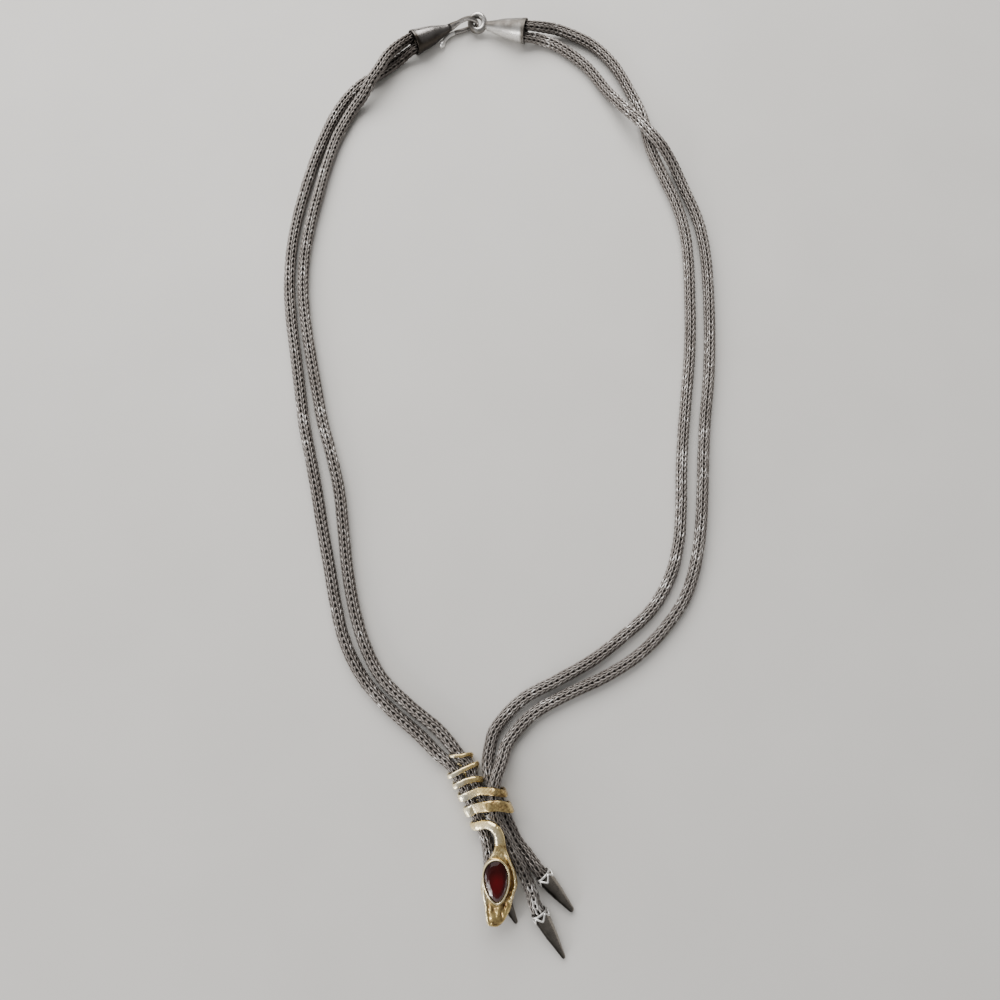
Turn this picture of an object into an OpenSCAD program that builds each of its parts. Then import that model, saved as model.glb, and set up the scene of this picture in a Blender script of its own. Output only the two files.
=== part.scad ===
// Necklace of four woven silver strands, drawn together by a gold snake that coils
// round them and carries a pear-shaped garnet on its head. Millimetres.
// It lies as on a table: +Z is up, +Y runs from the snake to the clasp, and the
// origin is on the surface below the middle of the whole loop.

/* [Strands] */
// Diameter of a woven strand where it lies free
strand_d = 3.2; // [3.0:0.1:3.2]
// Diameter of a strand where the coils of the snake squeeze it
squeezed_d = 2.9; // [2.6:0.1:2.9]
// Diameter of a strand inside a clasp cap
gripped_d = 2.8; // [2.5:0.1:2.8]

/* [Clasp] */
// Outer diameter of a clasp cap at its mouth
cap_mouth_d = 6.9; // [6.9:0.1:7.2]
// Bore of a clasp cap, which takes two strands
cap_bore_d = 6.3; // [6.3:0.05:6.4]
// Depth of that bore
cap_bore_l = 1.6; // [1.5:0.1:2]
// Diameter of the hook's cap at its narrow end
cap_end_d = 2.4; // [2:0.1:2.5]
// Diameter of the ring's cap at its narrow end
ring_cap_end_d = 2.8; // [2.4:0.1:3]
// Diameter of the hook's wire
hook_wire_d = 1.3; // [1:0.1:1.3]
// Diameter of the ball on the hook's free end
hook_ball_d = 1.9; // [1.5:0.1:1.9]
// Mean diameter of the end ring
ring_mean_d = 4.2; // [4.1:0.1:4.4]
// Diameter of the end ring's wire
ring_wire_d = 1.9; // [1.6:0.1:1.9]
// Tilt of the end ring, far side up
ring_tilt = 24; // [20:1:28]

/* [End tips] */
// Outer diameter of an end tip at its mouth
tip_mouth_d = 4.2; // [4.1:0.05:4.3]
// Bore of an end tip
tip_bore_d = 3.6; // [3.6:0.05:3.7]
// Depth of that bore
tip_bore_l = 1.6; // [1.5:0.1:2]
// Diameter of an end tip's rounded point
tip_end_d = 1; // [0.8:0.1:1.2]

/* [Snake] */
// Thickness of the flattened body where it lies under the strands
band_t = 0.6; // [0.5:0.05:0.6]
// Height of the head above its jaw line
head_up = 1.25; // [1:0.05:1.3]
// Depth of the head below its jaw line
head_down = 1.4; // [1:0.05:1.4]
// Wall of the bezel round the stone
bezel_wall = 0.45; // [0.35:0.05:0.5]
// Height of the bezel above its floor
bezel_h = 1.9; // [1.6:0.1:2]

/* [Stone] */
// Length of the pear-shaped stone
stone_l = 9.2; // [8.8:0.1:9.2]
// Width of the stone
stone_w = 5.6; // [5.2:0.1:5.6]
// Height of the stone
stone_h = 2.3; // [1.8:0.1:2.4]

/* [Hidden] */
rf = strand_d / 2;      // free strand
rs = squeezed_d / 2;    // squeezed strand
rg = gripped_d / 2;     // strand inside a cap
lay = rf;               // height of a strand's centre where it lies on the surface

// ---- vectors and curves ----
function unit(v) = v / norm(v);
function pw(x, e) = sign(x) * pow(abs(x), e);
function step01(x) = x <= 0 ? 0 : x >= 1 ? 1 : x * x * (3 - 2 * x);
function xyz(r) = [r[0], r[1], r[2]];
// one point of the smooth curve through rows a, b, c, d, between b and c
function curve(a, b, c, d, t) =
    0.5 * (2 * b + (c - a) * t + (2 * a - 5 * b + 4 * c - d) * t * t
           + (3 * b - a - 3 * c + d) * t * t * t);
// the curve through all rows of p, with n steps between two rows, or with one
// step where they are closer together than near
function through(p, n, near = 0) = [
    for (i = [0 : len(p) - 2])
        let (m = norm(xyz(p[i + 1]) - xyz(p[i])) < near ? 1 : n)
        for (k = [0 : m - 1])
            curve(p[max(i - 1, 0)], p[i], p[i + 1], p[min(i + 2, len(p) - 1)], k / m),
    p[len(p) - 1]];
function tangent(q, i) =
    unit(xyz(q[min(i + 1, len(q) - 1)]) - xyz(q[max(i - 1, 0)]));

// ---- a solid skinned over rings of m points ----
module skin(rings, m) {
    n = len(rings);
    polyhedron(points = [for (r = rings, p = r) p],
        faces = concat(
            [[for (k = [0 : m - 1]) k]],
            [for (i = [0 : n - 2], k = [0 : m - 1])
                [i * m + k, (i + 1) * m + k, i * m + (k + 1) % m]],
            [for (i = [0 : n - 2], k = [0 : m - 1])
                [(i + 1) * m + k, (i + 1) * m + (k + 1) % m, i * m + (k + 1) % m]],
            [[for (k = [m - 1 : -1 : 0]) (n - 1) * m + k]]),
        convexity = 10);
}
// a ring of points round c in the plane across t; a flat of it faces down
function ring(c, t, r, sides) =
    let (s = unit(cross(t, [0, 0, 1])), u = cross(s, t), q = r / cos(180 / sides))
    [for (k = [0 : sides - 1]) let (w = 360 * (k + 0.5) / sides)
        c + q * (cos(w) * s + sin(w) * u)];
// rings along rows of x, y, z and radius
function rings(q, sides) =
    [for (i = [0 : len(q) - 1]) ring(xyz(q[i]), tangent(q, i), q[i][3], sides)];
// a strand, nowhere below the surface
module strand(rows) {
    q = [for (r = through(rows, 2, 2.8)) with_r([r[0], r[1], max(r[2], r[3])], r[3])];
    skin(rings(q, 8), 8);
}

// ---- cones: from the centre of the mouth to the point ----
module along(from, to) {
    d = unit(to - from);
    translate(from) rotate([0, acos(d[2]), atan2(d[1], d[0])]) children();
}
// a point inside a cone, across and above its axis, and so deep in its mouth
function in_cone(from, to, across, above, deep) =
    let (d = unit(to - from), s = unit(cross([0, 0, 1], d)), u = cross(d, s))
    from + d * deep + s * across + u * above;
// distance from the mouth and radius, from the bore's floor to the narrow end
function cone_rows(l, mouth, bore, deep, end) = [
    [deep, bore / 2], [0, bore / 2], [0, mouth / 2], [0.4, mouth / 2],
    [deep + 0.2, mouth / 2 - 0.06], [l * 0.52, end / 2 + (mouth - end) * 0.29],
    [l - end / 2, end / 2]];
module cone_cap(from, to, mouth, bore, deep, end) {
    l = norm(to - from);
    along(from, to) rotate_extrude($fn = 64) polygon(concat([[0, deep]],
        [for (r = cone_rows(l, mouth, bore, deep, end)) [r[1], r[0]]],
        [[end / 2 * 0.87, l - end / 4], [end / 2 * 0.5, l - end * 0.067], [0, l]]));
}

// ---- clasp: mouths and narrow ends of its two caps ----
hook_mouth = [-26.2, 119.7, 3.55];
hook_end = [-15.2, 126.4, 2.3];
ring_mouth = [7.9, 123.9, 3.55];
ring_end = [-4.7, 127, 2.4];
ring_centre = [-6.9, 127.7, 2.7];
// the hook's wire: up over the end ring, down through it and back under it
HOOK = [ // x, y, z
    [-15.1, 126.5, 2.4], [-13.2, 126.9, 3.3], [-11.2, 127.3, 4.2],
    [-9.4, 127.4, 4.7], [-8, 127.3, 4.3], [-7.15, 127.5, 2.9], [-7.4, 127.9, 1.3],
    [-9.2, 127.8, 0.72], [-11.4, 126.9, 0.68], [-13.6, 126.2, 0.68],
    [-15.4, 125.3, 0.68], [-16.7, 124, 0.72], [-17.4, 122.7, 0.85], [-17.6, 122, 0.95]];
hook_out = unit([-0.45, -0.88, 0.1]); // the way its free end points

// ---- end tips: mouths and points ----
lo_mouth = [-1.1, -114.9, 2.3];   // left outer, its point shows beside the snout
lo_point = [4, -124.6, 0.7];
li_mouth = [-2.5, -99.3, 2.5];    // left inner, hidden below the neck
li_point = [1.1, -107.4, 1.1];
ro_mouth = [9.1, -121.5, 2.3];    // right outer, the longest end
ro_point = [15.2, -132.1, 0.7];
ri_mouth = [10, -113.3, 2.3];    // right inner
ri_point = [17.4, -121.9, 0.9];

// ---- the squeezed stretch has axes of its own: a along the coils, b across ----
function ab(a, b, z) = [-10.8 + 0.47 * a + 0.88 * b, -90.2 - 0.88 * a + 0.47 * b, z];
function with_r(p, r) = [p[0], p[1], p[2], r];

// ---- routes of the strands: x, y, z, radius ----
LEFT_OUTER = concat(
    [for (d = [1, -1.2]) with_r(in_cone(hook_mouth, hook_end, -1.22, -0.95, d), rg)],
    [
     [-30.5, 115.3, 1.8, rf], [-35, 111.6, lay, rf], [-42.8, 105.7, lay, rf],
     [-48.5, 97.5, lay, rf], [-52.2, 88.3, lay, rf], [-55.1, 78.7, lay, rf],
     [-57.3, 69, lay, rf], [-59, 59.2, lay, rf], [-59.8, 49.2, lay, rf],
     [-59.6, 39.2, lay, rf], [-58.4, 29.3, lay, rf], [-56.7, 19.5, lay, rf],
     [-55, 9.6, lay, rf], [-53.3, -0.3, lay, rf], [-51, -10, lay, rf],
     [-48.8, -19.7, lay, rf], [-46.8, -29.5, lay, rf], [-44.6, -39.3, lay, rf],
     [-42.5, -49, lay, rf], [-39.7, -58.6, lay, rf], [-34.9, -67.5, lay, rf],
     [-28.2, -74.8, lay, rf], [-20.6, -81.2, lay, rf],
     with_r(ab(-6, -2.2, 2), rf), with_r(ab(-3, -0.8, 2.45), rs),
     with_r(ab(0, -0.1, 2.45), rs), with_r(ab(4, 0, 2.45), rs),
     with_r(ab(8, 0, 2.45), rs), with_r(ab(11, -0.2, 2.45), rs),
     with_r(ab(14, -0.3, 2.45), rs), [-3.6, -104.6, 2.3, rs], [-2.9, -107, 2.1, rf], [-2.5, -110, 2.1, rf]],
    [for (d = [-2.2, 0, 1.3]) with_r(in_cone(lo_mouth, lo_point, 0, 0, d), rf)]);
LEFT_INNER = concat(
    [for (d = [1, 0]) with_r(in_cone(hook_mouth, hook_end, 1.22, 0.95, d), rg)],
    [
     [-30.8, 117.2, 4.8, rf], [-33.9, 113.3, 5.2, rf], [-36, 109.3, 5.2, rf],
     [-38.4, 105.6, 4.6, rf], [-41, 101.4, 3, rf], [-44.2, 97.4, 1.8, rf],
     [-48.4, 88.4, lay, rf], [-51.1, 78.8, lay, rf], [-53.1, 69, lay, rf],
     [-54.9, 59.3, lay, rf], [-55.9, 49.3, lay, rf], [-55.8, 39.3, lay, rf],
     [-54.5, 29.4, lay, rf], [-52.6, 19.5, lay, rf], [-50.5, 9.8, lay, rf],
     [-48.3, 0, lay, rf], [-45.4, -9.5, lay, rf], [-42.9, -19.2, lay, rf],
     [-41.4, -29.1, lay, rf], [-40, -39, lay, rf], [-38, -48.8, lay, rf],
     [-35, -58.4, lay, rf], [-30.4, -67.1, lay, rf], [-23.4, -74, lay, rf],
     [-15.6, -80.1, 1.8, rf],
     with_r(ab(-6, 1.9, 2.1), rf), with_r(ab(-3, 2.6, 2.45), rs),
     with_r(ab(0, 3.6, 2.45), rs), with_r(ab(4, 3, 2.45), rs),
     with_r(ab(8, 3, 2.45), rs)],
    [for (d = [-2, 0, 1.3]) with_r(in_cone(li_mouth, li_point, 0, 0, d), 1.25)]);
RIGHT_OUTER = concat(
    [for (d = [1, 0]) with_r(in_cone(ring_mouth, ring_end, 1.25, -0.9, d), rg)],
    [
     [12.6, 122.5, 1.7, rf], [18.9, 119.5, lay, rf], [26.5, 112.7, lay, rf],
     [32.1, 104.1, 2, rf], [37.6, 95.9, 3.9, rf], [40.7, 91.8, 4.9, rf],
     [43.6, 87.8, 5.1, rf], [46.6, 83.8, 5, rf], [49.5, 79.7, 3.8, rf],
     [52, 75.4, 2.2, rf], [53.9, 70.8, lay, rf], [57.2, 61.2, lay, rf],
     [58.7, 51.4, lay, rf], [59, 41.4, lay, rf], [58.8, 31.4, lay, rf],
     [58.3, 21.4, lay, rf], [57.4, 11.5, lay, rf], [56, 1.6, lay, rf],
     [54.9, -8.3, lay, rf], [54.1, -18.2, lay, rf], [53.1, -28.2, lay, rf],
     [51.3, -38, lay, rf], [47.9, -47.5, lay, rf], [42.1, -55.6, lay, rf],
     [34.9, -62.4, lay, rf], [26.3, -67.6, lay, rf], [17.2, -71.7, lay, rf],
     [8.4, -76.5, lay, rf], [2.2, -83, 1.8, rf], [0.4, -87.6, 3.6, rf],
     with_r(ab(5.6, 8.1, 5.2), rs), with_r(ab(7, 7, 5.45), rs),
     with_r(ab(9, 5.9, 5.5), rs), with_r(ab(11.4, 4.7, 5.6), rs),
     [-1, -100.3, 5.6, rs], [1, -103.8, 5.2, rs], [3, -107.8, 4.9, rs],
     [4.3, -110.3, 4.6, rf], [5.6, -112.7, 4.1, rf], [7.6, -117.3, 2.8, rf]],
    [for (d = [-2, 0, 1.3]) with_r(in_cone(ro_mouth, ro_point, 0, 0, d), rf)]);
RIGHT_INNER = concat(
    [for (d = [1, 0, -1.2]) with_r(in_cone(ring_mouth, ring_end, -1.25, 0.9, d), rg)],
    [
     [13.5, 125.4, 3.4, rf], [19.2, 125.2, 2.1, rf], [28.1, 120.8, lay, rf],
     [34.6, 113.4, lay, rf], [39.1, 104.4, lay, rf], [42.7, 95.2, lay, rf],
     [44.4, 85.3, lay, rf], [47.7, 75.8, lay, rf], [51.2, 66.5, lay, rf],
     [53.3, 56.8, lay, rf], [53.8, 46.8, lay, rf], [53.6, 36.8, lay, rf],
     [53.2, 26.7, lay, rf], [52.3, 16.8, lay, rf], [51, 6.9, lay, rf],
     [49.7, -3.1, lay, rf], [48.7, -13, lay, rf], [48.1, -22.9, lay, rf],
     [47, -32.8, lay, rf], [44.2, -42.3, lay, rf], [38.9, -50.8, lay, rf],
     [31.5, -57.4, lay, rf], [23.5, -63.4, lay, rf], [14.8, -68.2, lay, rf],
     [5.8, -72.9, lay, rf], [-0.8, -79.6, lay, rf], [-2.4, -84, lay, rf],
     [-3, -88, 1.9, rf], with_r(ab(4.3, 6.85, 2.35), rs), with_r(ab(7, 6.2, 2.45), rs),
     with_r(ab(10, 6.2, 2.45), rs), with_r(ab(13, 6.3, 2.45), rs),
     [1.6, -101, 2.2, rs], [2.9, -103.6, 1.8, rs], [3.9, -105.8, lay, rs],
     [5.7, -108.2, lay, rf]],
    [for (d = [-2.2, 0, 1.3]) with_r(in_cone(ri_mouth, ri_point, 0, 0, d), rf)]);

module chain_left_outer() { color("silver") strand(LEFT_OUTER); }
module chain_left_inner() { color("silver") strand(LEFT_INNER); }
module chain_right_outer() { color("silver") strand(RIGHT_OUTER); }
module chain_right_inner() { color("silver") strand(RIGHT_INNER); }

module hook_cap() { // the cap, the wire and the ball in one skin
    axis = unit(hook_end - hook_mouth);
    ball = HOOK[len(HOOK) - 1];
    color("gainsboro") skin(concat(
        [for (r = cone_rows(norm(hook_end - hook_mouth), cap_mouth_d, cap_bore_d,
                            cap_bore_l, cap_end_d))
            ring(hook_mouth + axis * r[0], axis, r[1], 24)],
        rings(concat([for (p = through(HOOK, 2)) with_r(p, hook_wire_d / 2)],
            [for (v = [-40 : 25 : 85]) with_r(
                ball + hook_out * (0.8 + sin(v)) * hook_ball_d / 2,
                cos(v) * hook_ball_d / 2)]), 24)), 24);
}
module ring_cap() {
    color("gainsboro") {
        cone_cap(ring_mouth, ring_end, cap_mouth_d, cap_bore_d, cap_bore_l, ring_cap_end_d);
        translate(ring_centre) rotate([ring_tilt, 0, 0])
            rotate_extrude($fn = 64) translate([ring_mean_d / 2, 0])
                circle(d = ring_wire_d, $fn = 32);
    }
}
module tip_left_outer() {
    color("gainsboro") cone_cap(lo_mouth, lo_point, tip_mouth_d, tip_bore_d, tip_bore_l, tip_end_d);
}
module tip_left_inner() { // a slimmer one, between two squeezed strands
    color("gainsboro") cone_cap(li_mouth, li_point, 3.2, 2.8, tip_bore_l, tip_end_d);
}
module tip_right_outer() {
    color("gainsboro") cone_cap(ro_mouth, ro_point, tip_mouth_d, tip_bore_d, tip_bore_l, tip_end_d);
}
module tip_right_inner() {
    color("gainsboro") cone_cap(ri_mouth, ri_point, tip_mouth_d, tip_bore_d, tip_bore_l, 1.4);
}

// ---- snake: a flattened band wound round the strands, then neck and head ----
// Each coil goes over the strands from its left side to its right side, and on
// below them to the left side of the next row. Its height over the strands
// climbs from low to high between two fractions of its width.
COILS = [ // left a, left b, right a, right b, low, high, climb from, to, side z, bow, width
    [0.1, -2.05, 0.6, 5.7, 4.4, 4.4, 0.3, 0.6, 2.4, 0, 1.1],
    [2.8, -2, 4.4, 4.88, 4.45, 4.45, 0.3, 0.6, 2.4, -0.1, 1.4],
    [5.65, -2, 9.6, 8.7, 4.45, 7.75, 0.42, 0.66, 3.8, 0.35, 1.8],
    [9.3, -2.15, 13.2, 8.3, 4.4, 7.65, 0.3, 0.54, 3.8, 0.1, 2.4]];
NECK_START = [12.9, -2.3];
// rows of a station: place, outward direction, width, thickness
function over(c, v) = // v from 0, left, to 180, right
    let (x = (1 - pw(cos(v), 0.5)) / 2, up = pw(sin(v), 0.5),
         h = c[4] + (c[5] - c[4]) * step01((x - c[6]) / (c[7] - c[6])),
         side = 2.4 + (c[8] - 2.4) * x)
    [ab(c[0] + (c[2] - c[0]) * pow(x, 3.5) + c[9] * sin(v),
        c[1] + (c[3] - c[1]) * x, side + (h - side) * up),
     ab(0, -cos(v), sin(v)) - ab(0, 0, 0), c[10], band_t];
function under(c, l, w, v) = // v from 0, right, to 180, left of the next coil
    let (x = (1 - pw(cos(v), 0.5)) / 2, down = pw(sin(v), 0.5),
         side = c[8] + (2.4 - c[8]) * x, low = 0.03 + band_t / 2)
    [ab(c[2] + (l[0] - c[2]) * v / 180, c[3] + (l[1] - c[3]) * x,
        side + (low - side) * down),
     ab(0, cos(v), -sin(v)) - ab(0, 0, 0), c[10] + (w - c[10]) * v / 180, band_t];
TAIL = [ // a, b, z, outward b, outward z, width, thickness
    [-4.6, 0.4, 2.4, -1, 0, 0.4, 0.3], [-4.35, 0.45, 3.15, -1, 0.2, 0.6, 0.3],
    [-4, 0.8, 4, -0.6, 0.8, 0.7, 0.5], [-3.5, 2, 4.45, 0, 1, 0.8, 0.6],
    [-2.9, 3.2, 4.35, 0.2, 1, 0.9, 0.65], [-2.4, 4.65, 3.75, 0.7, 0.7, 0.9, 0.7]];
TAIL_SIDE = [0, 0, -1.9, 5.35, 0, 0, 0, 0, 2.4, 0, 0.9]; // the tail's right side
NECK = [ // x, y, z, outward x, y, z, width, thickness
    [-6.7, -102.4, 3.5, -0.8, -0.3, 0.3, 1.8, 0.8], [-6.2, -102.3, 4.5, -0.6, -0.2, 0.8, 1.9, 0.8],
    [-5.3, -102, 5.3, -0.4, -0.1, 0.9, 2, 0.9], [-4.3, -101.6, 5.9, -0.3, 0, 0.95, 2, 1],
    [-3.3, -101.3, 6.9, -0.2, 0, 1, 2, 1.1], [-2.1, -101.5, 7.6, 0, 0, 1, 2, 1.1],
    [-1, -102.2, 7.9, 0, 0, 1, 2.1, 1.1], [-0.3, -103.4, 7.8, 0, 0, 1, 2.2, 1.1],
    [0, -104.9, 7.5, 0, 0, 1, 2.4, 1.2]];
HEAD = [ // y, left x, right x, jaw line z, height, depth
    [-106.8, -1.4, 1.6, 7.2, 0.55, 0.5], [-108.2, -2.2, 2.2, 7.1, 0.75, 0.7],
    [-109.6, -3, 2.75, 6.9, 0.9, 0.85], [-111, -3.6, 3.4, 6.8, 1, 0.95],
    [-112.5, -4.2, 3.9, 6.6, 1, 1], [-114.6, -4.5, 4.1, 6.4, 1, 1],
    [-116.4, -4.4, 3.5, 6.2, 1, 1], [-118, -3.95, 3, 6, 1, 0.95],
    [-119.7, -3.6, 2.5, 5.8, 0.95, 0.9], [-121.2, -3.45, 1.8, 5.6, 0.85, 0.8],
    [-122.5, -3.25, 1, 5.4, 0.75, 0.7], [-123.4, -2.9, 0.3, 5.2, 0.6, 0.6],
    [-124, -2.3, -0.4, 5.1, 0.35, 0.35]];
STATIONS = concat(
    [for (r = TAIL) [ab(r[0], r[1], r[2]), ab(0, r[3], r[4]) - ab(0, 0, 0), r[5], r[6]]],
    [for (v = [0 : 22.5 : 157.5]) under(TAIL_SIDE, COILS[0], COILS[0][10], v)],
    [for (i = [0 : len(COILS) - 1]) each concat(
        [for (v = [0 : 15 : 165]) over(COILS[i], v)],
        [for (v = [0 : 22.5 : 157.5]) under(COILS[i],
            i < len(COILS) - 1 ? COILS[i + 1] : NECK_START,
            i < len(COILS) - 1 ? COILS[i + 1][10] : 1.7, v)])],
    [[ab(NECK_START[0], NECK_START[1], 2.5), ab(0, -1, 0) - ab(0, 0, 0), 1.7, band_t]],
    [for (r = NECK) [[r[0], r[1], r[2]], [r[3], r[4], r[5]], r[6], r[7]]]);
module snake_body() {
    m = 10;
    body = [for (i = [0 : len(STATIONS) - 1])
        let (s = STATIONS[i],
             t = unit(STATIONS[min(i + 1, len(STATIONS) - 1)][0] - STATIONS[max(i - 1, 0)][0]),
             w = unit(cross(t, s[1])), n = cross(w, t))
        [for (k = [0 : m - 1]) let (v = -360 * k / m)
            s[0] + w * (s[2] / 2 * pw(cos(v), 0.7)) + n * (s[3] / 2 * pw(sin(v), 0.7))]];
    head = [for (r = HEAD)
        [for (k = [0 : m - 1]) let (v = -360 * k / m, c = -pw(cos(v), 0.85), s = pw(sin(v), 0.8))
            [(r[1] + r[2]) / 2 + c * (r[2] - r[1]) / 2, r[0],
             r[3] + s * (s > 0 ? r[4] * head_up : r[5] * head_down)]]];
    skin(concat(body, head), m);
}
// outline of the stone, its point at -y; grow widens it all round
module pear(grow) {
    w = stone_w / 2 + grow; l = stone_l;
    polygon([for (v = [0 : 10 : 350]) let (y = cos(v), x = sin(v))
        [x * w * (y < 0 ? pow(1 - pow(-y, 1.6), 0.12) : 1),
         (y > 0 ? y * (l * 0.38 + grow) : y * (l * 0.62 + grow * 1.3))]]);
}
stone_at = [-0.9, -112.3, 7.45];
stone_tilt = 5; // the head slopes down to the snout
module on_head() { translate(stone_at) rotate([stone_tilt, 0, 3]) children(); }
module snake() {
    color("gold") {
        difference() {
            snake_body();
            on_head() translate([0, 0, -0.6]) linear_extrude(5) pear(0.06);
        }
        on_head() translate([0, 0, -0.9]) difference() {
            linear_extrude(bezel_h + 0.3) pear(bezel_wall);
            translate([0, 0, 0.3]) linear_extrude(5) pear(0.06);
        }
    }
}
module stone() {
    color("darkred") on_head() translate([0, 0, -0.55]) {
        linear_extrude(stone_h * 0.6) pear(0);
        translate([0, 0, stone_h * 0.6]) hull() {
            linear_extrude(0.01) pear(0);
            translate([0, 0, stone_h * 0.4]) linear_extrude(0.01) scale(0.62) pear(0);
        }
    }
}

chain_left_outer();
chain_left_inner();
chain_right_outer();
chain_right_inner();
hook_cap();
ring_cap();
tip_left_outer();
tip_left_inner();
tip_right_outer();
tip_right_inner();
snake();
stone();
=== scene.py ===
# Looks of the necklace: woven strands, clasp, end tips, snake and stone.
# Lengths in the tables are millimetres, as in the part; Blender's are metres.
import math

import bpy
import numpy as np
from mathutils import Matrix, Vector, noise


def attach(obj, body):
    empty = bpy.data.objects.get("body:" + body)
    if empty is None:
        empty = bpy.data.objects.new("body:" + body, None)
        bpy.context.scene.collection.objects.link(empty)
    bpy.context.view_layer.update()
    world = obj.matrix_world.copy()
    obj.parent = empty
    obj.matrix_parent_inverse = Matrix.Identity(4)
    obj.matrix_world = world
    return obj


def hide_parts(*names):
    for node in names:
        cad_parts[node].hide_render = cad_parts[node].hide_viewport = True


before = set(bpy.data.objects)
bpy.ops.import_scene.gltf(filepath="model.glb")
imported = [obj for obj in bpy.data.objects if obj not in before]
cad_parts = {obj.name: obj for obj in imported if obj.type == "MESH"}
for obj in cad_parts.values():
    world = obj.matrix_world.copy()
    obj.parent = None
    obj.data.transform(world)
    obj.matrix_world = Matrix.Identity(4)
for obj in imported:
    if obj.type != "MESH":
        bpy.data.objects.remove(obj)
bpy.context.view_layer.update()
MM = 0.001
rng = np.random.default_rng(11)


# ------------------------------------------------------------------ vectors
def vec(*a):
    return np.array(a, float)


def unit(v):
    v = np.asarray(v, float)
    return v / np.maximum(np.linalg.norm(v, axis=-1, keepdims=True), 1e-12)


def pw(x, e):
    return np.sign(x) * np.abs(x) ** e


def step01(x):
    x = np.clip(x, 0, 1)
    return x * x * (3 - 2 * x)


def through(rows, n):
    """Catmull-Rom curve through rows, n steps between two rows."""
    p = np.asarray(rows, float)
    out = []
    for i in range(len(p) - 1):
        a, b, c = p[max(i - 1, 0)], p[i], p[i + 1]
        d = p[min(i + 2, len(p) - 1)]
        for k in range(n):
            t = k / n
            out.append(0.5 * (2 * b + (c - a) * t + (2 * a - 5 * b + 4 * c - d) * t * t
                              + (3 * b - a - 3 * c + d) * t ** 3))
    out.append(p[-1])
    return np.array(out)


def resample(q, step):
    d = np.r_[0, np.cumsum(np.linalg.norm(np.diff(q[:, :3], axis=0), axis=1))]
    n = max(int(round(d[-1] / step)), 2)
    s = np.linspace(0, d[-1], n + 1)
    return s, np.stack([np.interp(s, d, q[:, j]) for j in range(q.shape[1])], 1)


def soften(q, reach):
    """Moving average over reach samples to each side, the two ends kept."""
    k = np.hanning(2 * reach + 3)[1:-1]
    k /= k.sum()
    out = q.copy()
    for j in range(q.shape[1]):
        ext = np.r_[2 * q[0, j] - q[reach:0:-1, j], q[:, j], 2 * q[-1, j] - q[-2:-reach - 2:-1, j]]
        out[:, j] = np.convolve(ext, k, "valid")
    return out


def in_cone(a, b, across, above, deep):
    d = unit(b - a)
    s = unit(np.cross((0, 0, 1), d))
    return a + d * deep + s * across + np.cross(d, s) * above


def ab(a, b, z=0.0):
    return vec(-10.8 + 0.47 * a + 0.88 * b, -90.2 - 0.88 * a + 0.47 * b, z)


# ------------------------------------------------------------------- meshes
def make(name, verts, quads=(), tris=(), mats=(), slots=None, smooth=True, attrs=None):
    """A mesh object from arrays in millimetres. slots gives one material index a face, quads first."""
    v = (np.asarray(verts, float) * MM).astype(np.float32)
    q = np.asarray(quads, np.int32).reshape(-1, 4)
    t = np.asarray(tris, np.int32).reshape(-1, 3)
    me = bpy.data.meshes.new(name)
    me.vertices.add(len(v))
    me.vertices.foreach_set("co", v.ravel())
    me.loops.add(q.size + t.size)
    me.loops.foreach_set("vertex_index", np.r_[q.ravel(), t.ravel()].astype(np.int32))
    me.polygons.add(len(q) + len(t))
    me.polygons.foreach_set("loop_start", np.r_[np.arange(len(q)) * 4, q.size + np.arange(len(t)) * 3].astype(np.int32))
    for m in mats:
        me.materials.append(m)
    if slots is not None:
        me.polygons.foreach_set("material_index", np.asarray(slots, np.int32))
    flags = smooth if isinstance(smooth, np.ndarray) else np.full(len(q) + len(t), smooth)
    me.polygons.foreach_set("use_smooth", flags.astype(bool))
    for key, val in (attrs or {}).items():
        at = me.attributes.new(key, "FLOAT", "POINT")
        at.data.foreach_set("value", np.asarray(val, np.float32).ravel())
    me.update(calc_edges=True)
    me.validate()
    ob = bpy.data.objects.new(name, me)
    bpy.context.scene.collection.objects.link(ob)
    return ob


def grid_quads(rows, cols, base=0, closed=True, flip=False):
    i = np.arange(rows - 1)[:, None]
    j = np.arange(cols if closed else cols - 1)[None, :]
    a = i * cols + j
    b = i * cols + (j + 1) % cols
    c = (i + 1) * cols + (j + 1) % cols
    d = (i + 1) * cols + j
    q = np.stack([a, b, c, d], -1).reshape(-1, 4) + base
    return q[:, ::-1] if flip else q


class Parts:
    """Gathers several sub-meshes into one."""

    def __init__(self, *keys):
        self.v, self.q, self.t, self.sq, self.st = [], [], [], [], []
        self.keys = keys
        self.a = {k: [] for k in keys}
        self.n = 0

    def add(self, verts, quads=(), tris=(), slot=0, **attrs):
        verts = np.asarray(verts, float).reshape(-1, 3)
        quads = np.asarray(quads, int).reshape(-1, 4)
        tris = np.asarray(tris, int).reshape(-1, 3)
        self.v.append(verts)
        self.q.append(quads + self.n)
        self.t.append(tris + self.n)
        self.sq.append(np.full(len(quads), slot))
        self.st.append(np.full(len(tris), slot))
        for k in self.keys:
            self.a[k].append(np.broadcast_to(np.asarray(attrs.get(k, 0.0), float), (len(verts),)))
        self.n += len(verts)

    def make(self, name, mats, smooth=True):
        return make(name, np.concatenate(self.v), np.concatenate(self.q), np.concatenate(self.t), mats,
                    np.concatenate(self.sq + self.st), smooth,
                    {k: np.concatenate(v) for k, v in self.a.items()})


def piece(ob, slot, *nodes):
    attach(ob, "root")
    if nodes:
        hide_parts(*nodes)
    return ob


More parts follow.
